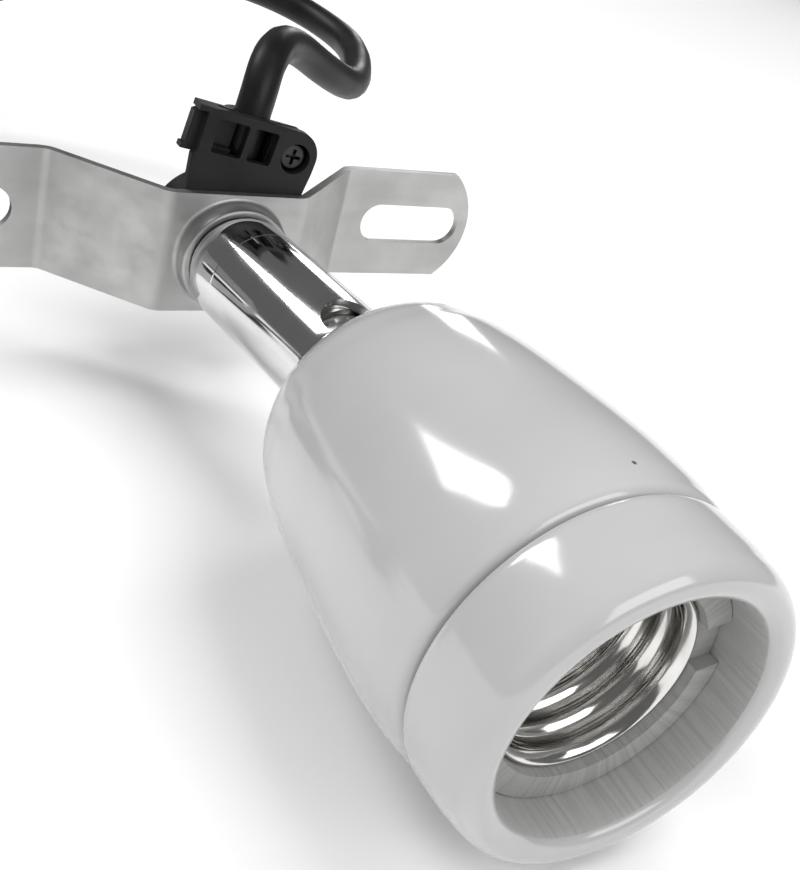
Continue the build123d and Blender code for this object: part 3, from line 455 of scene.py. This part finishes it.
ring.data.materials.append(porcelain)
ring.data.materials.append(bare_clay)
unglazed_radius = mouth_radius + 0.2
for face in ring.data.polygons:
    away = face.center - knuckle
    if sqrt(away.x**2 + away.z**2) < unglazed_radius * MM:
        face.material_index = 1
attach(ring, "lamp_head")
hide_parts("ceramic_ring")


# ---------------------------------------------------------------------------
# Socket core.  Bare porcelain that carries the shell, contact and terminals,
# with a keyed recess in its flange, held to the dome by two long screws.
# ---------------------------------------------------------------------------
merged_copy("socket_core", "porcelain_core", "lamp_head", bare_clay)
brass = metal("terminal_brass", (0.62, 0.44, 0.18), (0.50, 0.34, 0.12), 0.2, 0.4, 700,
              (1, 1, 1), 0.000008)
coat(brass, "live_terminal", "neutral_terminal", "earth_tag")
coat(lead_plastic, "lamp_leads")


# ---------------------------------------------------------------------------
# Screw shell and centre contact.  Nickel-plated sheet brass with a rolled round
# thread and flared lip; the contact is sprung off the core's floor.
# ---------------------------------------------------------------------------
nickel = metal("nickel_plate", (0.80, 0.79, 0.77), (0.70, 0.69, 0.67), 0.07, 0.2, 300,
               (1, 8, 1), 0.000008)
lip_at, thread_minor, thread_depth, sheet = 68.9, 12.2, 1.05, 0.35
first_groove, pitch, land, turns = 66.7, 3.6, 0.7, 5
steps_per_groove = 8
groove_roundness = 0.8              # below 1 the groove is fuller than half a sine wave


def thread_side(radius, lower_end):
    """Stations down one side of the rolled shell."""
    found = [(radius, first_groove + land)]
    for i in range(turns):
        top = first_groove - i * pitch
        depth_of_groove = pitch - land
        for k in range(steps_per_groove + 1):
            share = k / steps_per_groove
            bulge = thread_depth * sin(pi * share)**groove_roundness
            found.append((radius + bulge, top - depth_of_groove * share))
    found.append((radius - 1.3, lower_end))
    return found


shell_bottom, floor_hole = 46.6, 9.0
inner = thread_side(thread_minor, shell_bottom + sheet)
outer = thread_side(thread_minor + sheet, shell_bottom)
lip = [(thread_minor + 1.0, lip_at + 0.02), (thread_minor + 1.2, lip_at + 0.05),
       (thread_minor + 1.4, lip_at - 0.1), (thread_minor + 1.2, lip_at - 0.4)]
rise = [(thread_minor + 0.15, first_groove + land + 0.4), (thread_minor + 0.5, lip_at - 0.5)]
shell_start = [(floor_hole, shell_bottom + sheet)]
shell_end = [(floor_hole, shell_bottom)]
shell = turned("screw_shell", shell_start + inner[::-1] + rise + lip + outer + shell_end, 128)
set_down(shell, knuckle, lamp_line, 60)
shell.data.materials.append(nickel)
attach(shell, "lamp_head")
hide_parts("screw_shell")
merged_copy("centre_contact", "contact_button", "contact", nickel)
coat(spring_steel, "contact_spring")


# ---------------------------------------------------------------------------
# Stage: a pale floor that the holder, coil and plug lie on, soft studio lights
# and the camera.
# ---------------------------------------------------------------------------
floor_gap = 0.0001
floor_z = cad_box[0][2] - floor_gap
bpy.ops.object.select_all(action="DESELECT")
bpy.ops.mesh.primitive_plane_add(size=8, location=(0, 0, floor_z))
floor = bpy.context.object
floor.name = "floor"
floor_paint, _, _, floor_shade, _ = shader("floor_paint")
floor_shade.inputs["Base Color"].default_value = (0.93, 0.93, 0.93, 1)
floor_shade.inputs["Roughness"].default_value = 0.75
floor.data.materials.append(floor_paint)

world = bpy.data.worlds.new("studio")
bpy.context.scene.world = world
world.use_nodes = True
world.node_tree.nodes["Background"].inputs["Color"].default_value = (0.80, 0.80, 0.80, 1)
world.node_tree.nodes["Background"].inputs["Strength"].default_value = 0.16


def soft_box(name, place, aim, width, height, power, mirrored):
    """A rectangular studio light, seen in shiny surfaces or only felt as light."""
    light = bpy.data.lights.new(name, "AREA")
    light.shape = "RECTANGLE"
    light.size = width
    light.size_y = height
    light.energy = power
    lamp = bpy.data.objects.new(name, light)
    lamp.location = place
    lamp.visible_glossy = mirrored
    lamp.rotation_euler = (Vector(aim) - Vector(place)).to_track_quat("-Z", "Y").to_euler()
    bpy.context.scene.collection.objects.link(lamp)


soft_box("key", (-0.35, 0.46, 0.63), (0.0, -0.10, 0.0), 0.22, 0.36, 2.4, True)
soft_box("right_band", (0.55, 0.78, 0.22), (0.0, -0.05, 0.0), 0.12, 0.30, 0.6, True)
soft_box("left_fill", (-0.95, -0.30, 0.55), (0.0, -0.10, 0.0), 0.7, 0.7, 6, False)
soft_box("front_fill", (0.25, -0.95, 0.65), (0.0, -0.10, 0.0), 0.8, 0.6, 4.5, True)
soft_box("overhead", (0.55, -0.10, 1.05), (0.0, -0.05, 0.0), 0.9, 0.9, 11, False)
bpy.context.scene.view_settings.view_transform = "Standard"

look = Vector((0.5072, 0.7036, -0.4976)).normalized()
right = look.cross(Vector((0.0545, 0.55, 0.8334))).normalized()
top = right.cross(look)
stand = Vector((-81.32, -193.73, 83.96)) * MM
camera_data = bpy.data.cameras.new("camera")
camera_data.lens = 49.2
camera_data.sensor_width = 36
camera_data.clip_start = 0.01
camera = bpy.data.objects.new("camera", camera_data)
turn = Matrix((right, top, -look)).transposed()
camera.matrix_world = Matrix.Translation(stand) @ turn.to_4x4()
bpy.context.scene.collection.objects.link(camera)
bpy.context.scene.camera = camera
